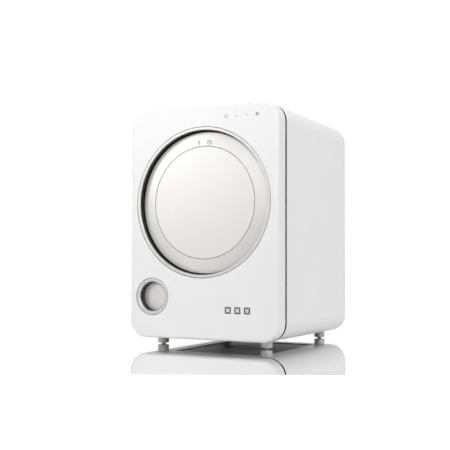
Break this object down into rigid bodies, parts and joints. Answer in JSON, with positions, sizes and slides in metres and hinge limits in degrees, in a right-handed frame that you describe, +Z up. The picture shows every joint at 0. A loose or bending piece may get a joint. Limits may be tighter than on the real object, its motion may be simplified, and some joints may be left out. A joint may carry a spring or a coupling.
{
  "type": "clothes dryer",
  "caption": "Compact front-loading clothes dryer: rounded box on levelling feet, recessed round door in a black well, round start button, drum, belt drive, heater and blower inside.",
  "frame": {"origin": "on the floor under the middle of the body", "axes": "+Z up, -Y out of the front face towards the user, +X to the right for someone facing the front"},
  "size_m": [0.418, 0.488, 0.6],
  "materials": {
    "body_paint": "satin",
    "trim_metal": "satin",
    "black_plastic": "matte",
    "grey_plastic": "matte",
    "clear_plastic": "clear",
    "rubber": "matte",
    "drum_steel": "brushed",
    "galvanised_sheet": "satin",
    "cast_metal": "cast",
    "foot_metal": "satin",
    "felt": "matte",
    "circuit_board": "satin"
  },
  "bodies": {
    "cabinet": {"front_panel": "body_paint", "cabinet_shell": "body_paint", "seam_gasket": "rubber", "door_trim_ring": "trim_metal", "button_trim_ring": "trim_metal", "door_tunnel": "black_plastic", "button_well": "black_plastic", "catch_magnet": "black_plastic", "power_inlet": "black_plastic", "rear_cover": "grey_plastic", "exhaust_collar": "grey_plastic", "exhaust_duct": "grey_plastic", "blower_housing": "grey_plastic", "button_switch": "grey_plastic", "light_guide": "clear_plastic", "drive_belt": "rubber", "hinge_bracket": "drum_steel", "button_spring": "drum_steel", "idler_spring": "drum_steel", "heater_element": "drum_steel", "base_pan": "black_plastic", "front_bulkhead": "galvanised_sheet", "rear_bulkhead": "galvanised_sheet", "heater_box": "galvanised_sheet", "motor_bracket": "galvanised_sheet", "idler_bracket": "galvanised_sheet", "bearing_housing": "cast_metal", "motor_body": "cast_metal", "drum_felt_seal": "felt", "control_board": "circuit_board", "foot_collar_front_left": "foot_metal", "foot_collar_front_right": "foot_metal", "foot_collar_rear_left": "foot_metal", "foot_collar_rear_right": "foot_metal"},
    "door": {"door_outer_band": "body_paint", "door_centre_disc": "body_paint", "door_frame": "grey_plastic", "door_bowl": "clear_plastic", "door_seal": "rubber", "door_strike_plate": "drum_steel", "door_hinge_arm": "drum_steel"},
    "drum": {"drum_shell": "drum_steel", "drum_front_ring": "drum_steel", "drum_back": "drum_steel", "drum_shaft": "cast_metal", "drum_lifter_1": "grey_plastic", "drum_lifter_2": "grey_plastic", "drum_lifter_3": "grey_plastic"},
    "rotor": {"motor_shaft": "drum_steel", "drive_pulley": "cast_metal", "fan_impeller": "grey_plastic"},
    "idler": {"idler_arm": "cast_metal"},
    "idler_roller": {"idler_pulley": "grey_plastic"},
    "button": {"start_button": "trim_metal"},
    "filter": {"intake_filter": "grey_plastic"},
    "flap": {"exhaust_flap": "black_plastic"},
    "foot_front_left": {"levelling_foot_front_left": "foot_metal"},
    "foot_front_right": {"levelling_foot_front_right": "foot_metal"},
    "foot_rear_left": {"levelling_foot_rear_left": "foot_metal"},
    "foot_rear_right": {"levelling_foot_rear_right": "foot_metal"}
  },
  "joints": [
    {"name": "door_hinge", "type": "hinge", "parent": "cabinet", "child": "door", "pos_m": [0.192, -0.235, 0.361], "axis": [0, 0, 1], "range_deg": [0, 95]},
    {"name": "drum_spin", "type": "hinge", "parent": "cabinet", "child": "drum", "pos_m": [0, 0, 0.361], "axis": [0, 1, 0], "continuous": true},
    {"name": "rotor_spin", "type": "hinge", "parent": "cabinet", "child": "rotor", "pos_m": [0.1, 0, 0.1123], "axis": [0, 1, 0], "continuous": true},
    {"name": "idler_swing", "type": "hinge", "parent": "cabinet", "child": "idler", "pos_m": [-0.0136, 0, 0.0633], "axis": [0, 1, 0], "range_deg": [0, 10], "stiffness_Nm_per_rad": 3, "springref_deg": -20.05},
    {"name": "idler_spin", "type": "hinge", "parent": "idler", "child": "idler_roller", "pos_m": [0.0364, 0, 0.1133], "axis": [0, 1, 0], "continuous": true},
    {"name": "button_press", "type": "slide", "parent": "cabinet", "child": "button", "axis": [0, 1, 0], "range_m": [0, 0.004], "stiffness_N_per_m": 600, "springref_m": -0.004, "deforming": ["button_spring"]},
    {"name": "filter_slide", "type": "slide", "parent": "cabinet", "child": "filter", "axis": [0, 1, 0], "range_m": [0, 0.06]},
    {"name": "flap_swing", "type": "hinge", "parent": "cabinet", "child": "flap", "pos_m": [0.002, 0.23775, 0.1163], "axis": [1, 0, 0], "range_deg": [0, 60]},
    {"name": "foot_screw_front_left", "type": "slide", "parent": "cabinet", "child": "foot_front_left", "axis": [0, 0, -1], "range_m": [0, 0.006]},
    {"name": "foot_screw_front_right", "type": "slide", "parent": "cabinet", "child": "foot_front_right", "axis": [0, 0, -1], "range_m": [0, 0.006]},
    {"name": "foot_screw_rear_left", "type": "slide", "parent": "cabinet", "child": "foot_rear_left", "axis": [0, 0, -1], "range_m": [0, 0.006]},
    {"name": "foot_screw_rear_right", "type": "slide", "parent": "cabinet", "child": "foot_rear_right", "axis": [0, 0, -1], "range_m": [0, 0.006]}
  ],
  "couplings": [
    {"joint": "rotor_spin", "follows": "drum_spin", "ratio": 13.2},
    {"joint": "idler_spin", "follows": "drum_spin", "ratio": -17.1}
  ]
}
